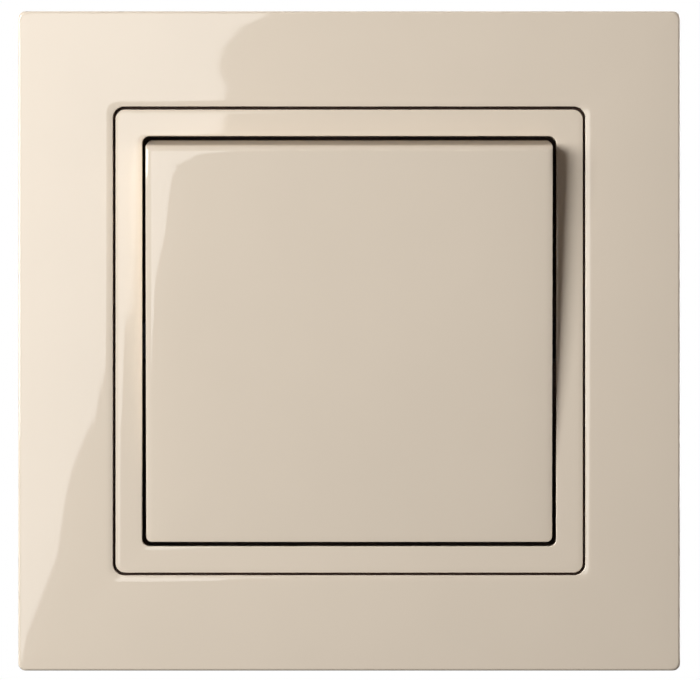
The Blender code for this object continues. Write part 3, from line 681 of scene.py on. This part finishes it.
def rocker_key():
    ceiling = KEY_FACE + KEY_WALL
    inside = grown(KEY_HALF, -KEY_WALL)
    small, large = KEY_CHAMFER, KEY_INNER_CHAMFER
    rear_corner, ceiling_corner, wall_corner = KEY_INSIDE_CORNERS
    outlines = [
        (grown(inside, -large), ceiling_corner, ceiling, False),
        (inside, wall_corner, ceiling + large, False),
        (inside, rear_corner, KEY_REAR - small, False),
        (grown(inside, small), rear_corner, KEY_REAR, False),
        (grown(KEY_HALF, -small), KEY_CORNER, KEY_REAR, False),
        (KEY_HALF, KEY_CORNER, KEY_REAR - small, False),
    ]
    for inset in KEY_RINGS:
        outlines.append((grown(KEY_HALF, -inset), KEY_CORNER, KEY_FACE, True))
    bm = bmesh.new()
    rings = lofted(bm, outlines, closed=False, shape=key_shape)
    bm.faces.new(rings[0])
    bm.faces.new(rings[-1])
    bmesh.ops.translate(bm, vec=(0, 0, KEY_RAISE), verts=bm.verts)
    for side in (-1, 1):
        prism_x(bm, key_hook(side, ceiling), -KEY_HOOK_HALF, KEY_HOOK_HALF)
    piece(
        "key_cap",
        bm,
        IVORY,
        "rocker",
        ["rocker_key"],
        at=(0, PIVOT_Y, 0),
        tilt=REST_TILT,
    )


def gap_shade_film():
    """A black ring on the support plate: painted shade, which shows as the dark of the gap round
    the key.
    """
    inside, inside_corner = GAP_SHADE_FILM_INSIDE
    outside, outside_corner = GAP_SHADE_FILM_OUTSIDE
    rows = (
        (inside, inside_corner, GAP_SHADE_FILM_REAR),
        (outside, outside_corner, GAP_SHADE_FILM_REAR),
        (outside + GAP_SHADE_FILM_ROUND, outside_corner, GAP_SHADE_FILM_MIDDLE),
        (outside, outside_corner, GAP_SHADE_FILM_FRONT),
        (inside, inside_corner, GAP_SHADE_FILM_FRONT),
        (inside - GAP_SHADE_FILM_ROUND, inside_corner, GAP_SHADE_FILM_MIDDLE),
    )
    bm = bmesh.new()
    lofted(bm, [((half, half), corner, y, False) for half, corner, y in rows], closed=True)
    piece("gap_shade_film", bm, GAP_SHADE, "chassis")


def gap_shade_strip():
    """A dark strip round the bezel, set back in the gap to the frame: painted shade that makes the
    gap read dark.
    """
    outer = grown(FRAME_OPENING, -GAP_STRIP_PLAY)
    inner = grown(BEZEL_HALF, GAP_STRIP_PLAY)
    front, rear = GAP_STRIP_SPAN
    corner = BEZEL_CORNERS[0] + GAP_STRIP_PLAY
    middle = between(outer, inner, 0.5)
    bm = bmesh.new()
    outlines = [
        (inner, corner, front + GAP_STRIP_PLAY, False),
        (middle, corner, front, False),
        (outer, corner, front + GAP_STRIP_PLAY, False),
        (outer, corner, rear, False),
        (inner, corner, rear, False),
    ]
    lofted(bm, outlines, closed=True)
    piece("gap_shade_strip", bm, GAP_SHADE, "chassis", at=(0, 0, BEZEL_DROP))


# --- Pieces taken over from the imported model, with softened edges ---


def plug(bm, half, corner, middle, y):
    """A block along Y between two places, with a rounded outline, for cutting."""
    rings = lofted(bm, [(half, corner, place, False) for place in y], closed=False)
    for ring in rings:
        bm.faces.new(ring)
        bmesh.ops.translate(bm, vec=(middle[0], 0, middle[1]), verts=ring)


def base_marks():
    """Recesses of the base: a panel, a stripping gauge, pin marks, well rings and grooves."""
    bm = bmesh.new()
    beyond = BASE_REAR + CUT_BEYOND
    marks = (BASE_REAR - MARK_DEPTH, beyond)
    plug(bm, PANEL_HALF, PANEL_CORNER, PANEL_MIDDLE, marks)
    plug(bm, GAUGE_HALF, GAUGE_HALF[1] / 2, GAUGE_MIDDLE, marks)
    for side in (-1, 1):
        x = GAUGE_MIDDLE[0] + side * (GAUGE_HALF[0] + 2 * GAUGE_END_HALF[0])
        plug(bm, GAUGE_END_HALF, GAUGE_END_HALF[0] / 2, (x, GAUGE_MIDDLE[1]), marks)
    rounds = [(place, PIN_RADIUS, PIN_DEPTH) for place in PIN_PLACES]
    rounds += [(place, *WELL_RING) for place in TERMINAL_PLACES]
    for place, radius, depth in rounds:
        plug(bm, (radius, radius), radius * NEARLY_ROUND, place, (BASE_REAR - depth, beyond))
    for x in GROOVE_PLACES:
        across = (x - GROOVE_HALF, x + GROOVE_HALF)
        box(bm, across, GROOVE_SPAN, (BASE_HALF - MARK_DEPTH, BASE_HALF + CUT_BEYOND))
    return bm


def cut(made, bm):
    """Cuts a bmesh in millimetres out of a piece."""
    to_metres(bm)
    cutter = object_of("cutter", bm)
    step = made.modifiers.new("Cut", "BOOLEAN")
    step.operation = "DIFFERENCE"
    step.solver = "EXACT"
    step.object = cutter
    graph = bpy.context.evaluated_depsgraph_get()
    made.data = bpy.data.meshes.new_from_object(made.evaluated_get(graph))
    made.modifiers.clear()
    bpy.data.objects.remove(cutter)


def refined(node, look, body, bevel):
    """A copy of a CAD node with its flat faces merged and its edges softened."""
    bm = bmesh.new()
    bm.from_mesh(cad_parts[node].data)
    bmesh.ops.remove_doubles(bm, verts=bm.verts, dist=SAME_PLACE)
    flat = radians(FLAT_ANGLE)
    bmesh.ops.dissolve_limit(bm, angle_limit=flat, verts=bm.verts, edges=bm.edges)
    made = object_of(f"{node}_fine", bm)
    if node == "mechanism_base":
        cut(made, base_marks())
    dress(made, look, bevel)
    settle(made, body, [node])


def shorten_spring():
    """Gives the spring a mesh of its own."""
    spring = bpy.data.objects["plunger_spring_fine"]
    bpy.context.view_layer.update()
    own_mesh(spring)


def mechanism():
    # Each node's look, slot and body, and the width that its edges are softened by
    looks = {
        "mechanism_base": (GREY, "grey_plastic", "chassis", 0.25),
        "mechanism_cover": (WHITE, "white_plastic", "chassis", 0.18),
        "rocker_cradle": (WHITE, "white_plastic", "rocker", 0.15),
        "plunger": (WHITE, "white_plastic", "pusher", 0.0),
        "plunger_spring": (PLATED, "plated_steel", "rocker", 0.0),
        "support_plate": (ZINC, "galvanised_steel", "chassis", 0.12),
        "claw_left": (ZINC, "galvanised_steel", "left_claw", 0.12),
        "claw_right": (ZINC, "galvanised_steel", "right_claw", 0.12),
        "claw_screw_left": (CLAW_SCREW_SHADE, "plated_steel", "left_claw_screw", 0.08),
        "claw_screw_right": (CLAW_SCREW_SHADE, "plated_steel", "right_claw_screw", 0.08),
        "terminal_clamp_line": (PLATED, "plated_steel", "line_clamp", 0.1),
        "terminal_clamp_load": (PLATED, "plated_steel", "load_clamp", 0.1),
        "terminal_screw_line": (BRASS, "brass", "line_screw", 0.08),
        "terminal_screw_load": (BRASS, "brass", "load_screw", 0.08),
        "common_contact": (BRASS, "brass", "chassis", 0.08),
        "fixed_contact": (BRASS, "brass", "chassis", 0.08),
        "fixed_contact_rivet": (SILVER, "silver", "chassis", 0.0),
        "moving_contact": (BRASS, "brass", "contact_blade", 0.08),
        "moving_contact_rivet": (SILVER, "silver", "contact_blade", 0.0),
    }
    for number in range(1, 5):
        looks[f"assembly_screw_{number}"] = (PLATED, "plated_steel", "chassis", 0.08)
    for node, (look, slot, body, bevel) in looks.items():
        refined(node, look, body, bevel)
    shorten_spring()


# --- Stage ---


def emitter(name, outline, distance, facing, radiance):
    """A glowing panel on the plane that faces the switch from a direction."""
    turn, rise = radians(facing[0]), radians(facing[1])
    middle = Vector((-sin(turn), -cos(turn), tan(rise))).normalized() * distance * MM
    normal = -middle.normalized()
    bm = bmesh.new()
    corners = []
    for azimuth, elevation in outline:
        a, e = radians(azimuth), radians(elevation)
        ray = Vector((-sin(a) * cos(e), -cos(a) * cos(e), sin(e)))
        reach = middle.dot(normal) / ray.dot(normal)
        corners.append(bm.verts.new(ray * reach))
    bm.faces.new(corners)
    made = object_of(name, bm)
    glow = bpy.data.materials.new(name)
    glow.use_nodes = True
    nodes = glow.node_tree.nodes
    nodes.clear()
    light = nodes.new("ShaderNodeEmission")
    light.inputs["Strength"].default_value = radiance
    out = nodes.new("ShaderNodeOutputMaterial")
    glow.node_tree.links.new(light.outputs["Emission"], out.inputs["Surface"])
    made.data.materials.append(glow)
    made.visible_camera = False
    made.visible_shadow = False


def soft_light(name, place, size, power):
    """An area light that faces the switch."""
    data = bpy.data.lights.new(name, "AREA")
    data.shape = "RECTANGLE"
    data.size, data.size_y = size
    data.energy = power
    made = bpy.data.objects.new(name, data)
    made.location = place
    made.rotation_euler = (-Vector(place)).to_track_quat("-Z", "Y").to_euler()
    made.visible_camera = False
    bpy.context.scene.collection.objects.link(made)


def floor_look():
    """The floor's look: it glows towards white far away, and reflections see it dark."""
    look = Look("pale_floor")
    look.colour(look.mottled(look.noise(scale=FLOOR_GRAIN, detail=3), FLOOR_TONES))
    look.set(Roughness=FLOOR_ROUGHNESS, Emission_Color=(1, 1, 1, 1))
    reach = look.nodes.new("ShaderNodeVectorMath")
    reach.operation = "LENGTH"
    look.join(look.where, reach.inputs[0])
    fade = look.nodes.new("ShaderNodeMapRange")
    for place, value in zip(("From Min", "From Max", "To Min", "To Max"), FLOOR_FADE):
        fade.inputs[place].default_value = value
    look.join(reach.outputs["Value"], fade.inputs["Value"])
    look.join(fade.outputs["Result"], look.shader.inputs["Emission Strength"])
    light = look.nodes.new("ShaderNodeLightPath")
    dim = look.nodes.new("ShaderNodeBsdfDiffuse")
    dim.inputs["Color"].default_value = FLOOR_IN_REFLECTIONS
    mix = look.nodes.new("ShaderNodeMixShader")
    look.join(light.outputs["Is Camera Ray"], mix.inputs["Fac"])
    look.join(dim.outputs["BSDF"], mix.inputs[1])
    look.join(look.shader.outputs["BSDF"], mix.inputs[2])
    look.join(mix.outputs["Shader"], look.nodes["Material Output"].inputs["Surface"])
    return look.made


def pale_floor():
    bm = bmesh.new()
    bm.faces.new([bm.verts.new((x, y, FLOOR_LEVEL)) for x, y in FLOOR_CORNERS])
    floor = object_of("floor", bm)
    floor.data.materials.append(floor_look())


def backdrop():
    """A world that is white to the camera, and lights the switch with a faint warm tone."""
    world = bpy.data.worlds.new("studio")
    bpy.context.scene.world = world
    world.use_nodes = True
    nodes, links = world.node_tree.nodes, world.node_tree.links
    nodes.clear()
    path = nodes.new("ShaderNodeLightPath")
    mix = nodes.new("ShaderNodeMixShader")
    links.new(path.outputs["Is Camera Ray"], mix.inputs["Fac"])
    for slot, (colour, strength) in enumerate((BACKDROP_FELT, BACKDROP_SEEN), start=1):
        tone = nodes.new("ShaderNodeBackground")
        tone.inputs["Color"].default_value = colour
        tone.inputs["Strength"].default_value = strength
        links.new(tone.outputs["Background"], mix.inputs[slot])
    out = nodes.new("ShaderNodeOutputWorld")
    links.new(mix.outputs["Shader"], out.inputs["Surface"])


def camera():
    """The camera looks straight at the front, from far enough to show almost no side."""
    data = bpy.data.cameras.new("camera")
    data.sensor_width = SENSOR
    data.lens = SENSOR * CAMERA_DISTANCE / VIEW_WIDTH
    data.clip_start, data.clip_end = CAMERA_CLIP
    made = bpy.data.objects.new("camera", data)
    right, up = CAMERA_OFFSET
    made.location = (right * MM, (FRAME_FRONT - CAMERA_DISTANCE) * MM, up * MM)
    made.rotation_euler = (pi / 2, 0, 0)
    bpy.context.scene.collection.objects.link(made)
    bpy.context.scene.camera = made
    bpy.context.scene.view_settings.view_transform = "Standard"


def stage():
    pale_floor()
    backdrop()
    for panel in PANELS:
        emitter(*panel)
    for light in LIGHTS:
        soft_light(*light)
    camera()


outer_frame()
inner_bezel()
rocker_key()
gap_shade_film()
gap_shade_strip()
mechanism()
stage()
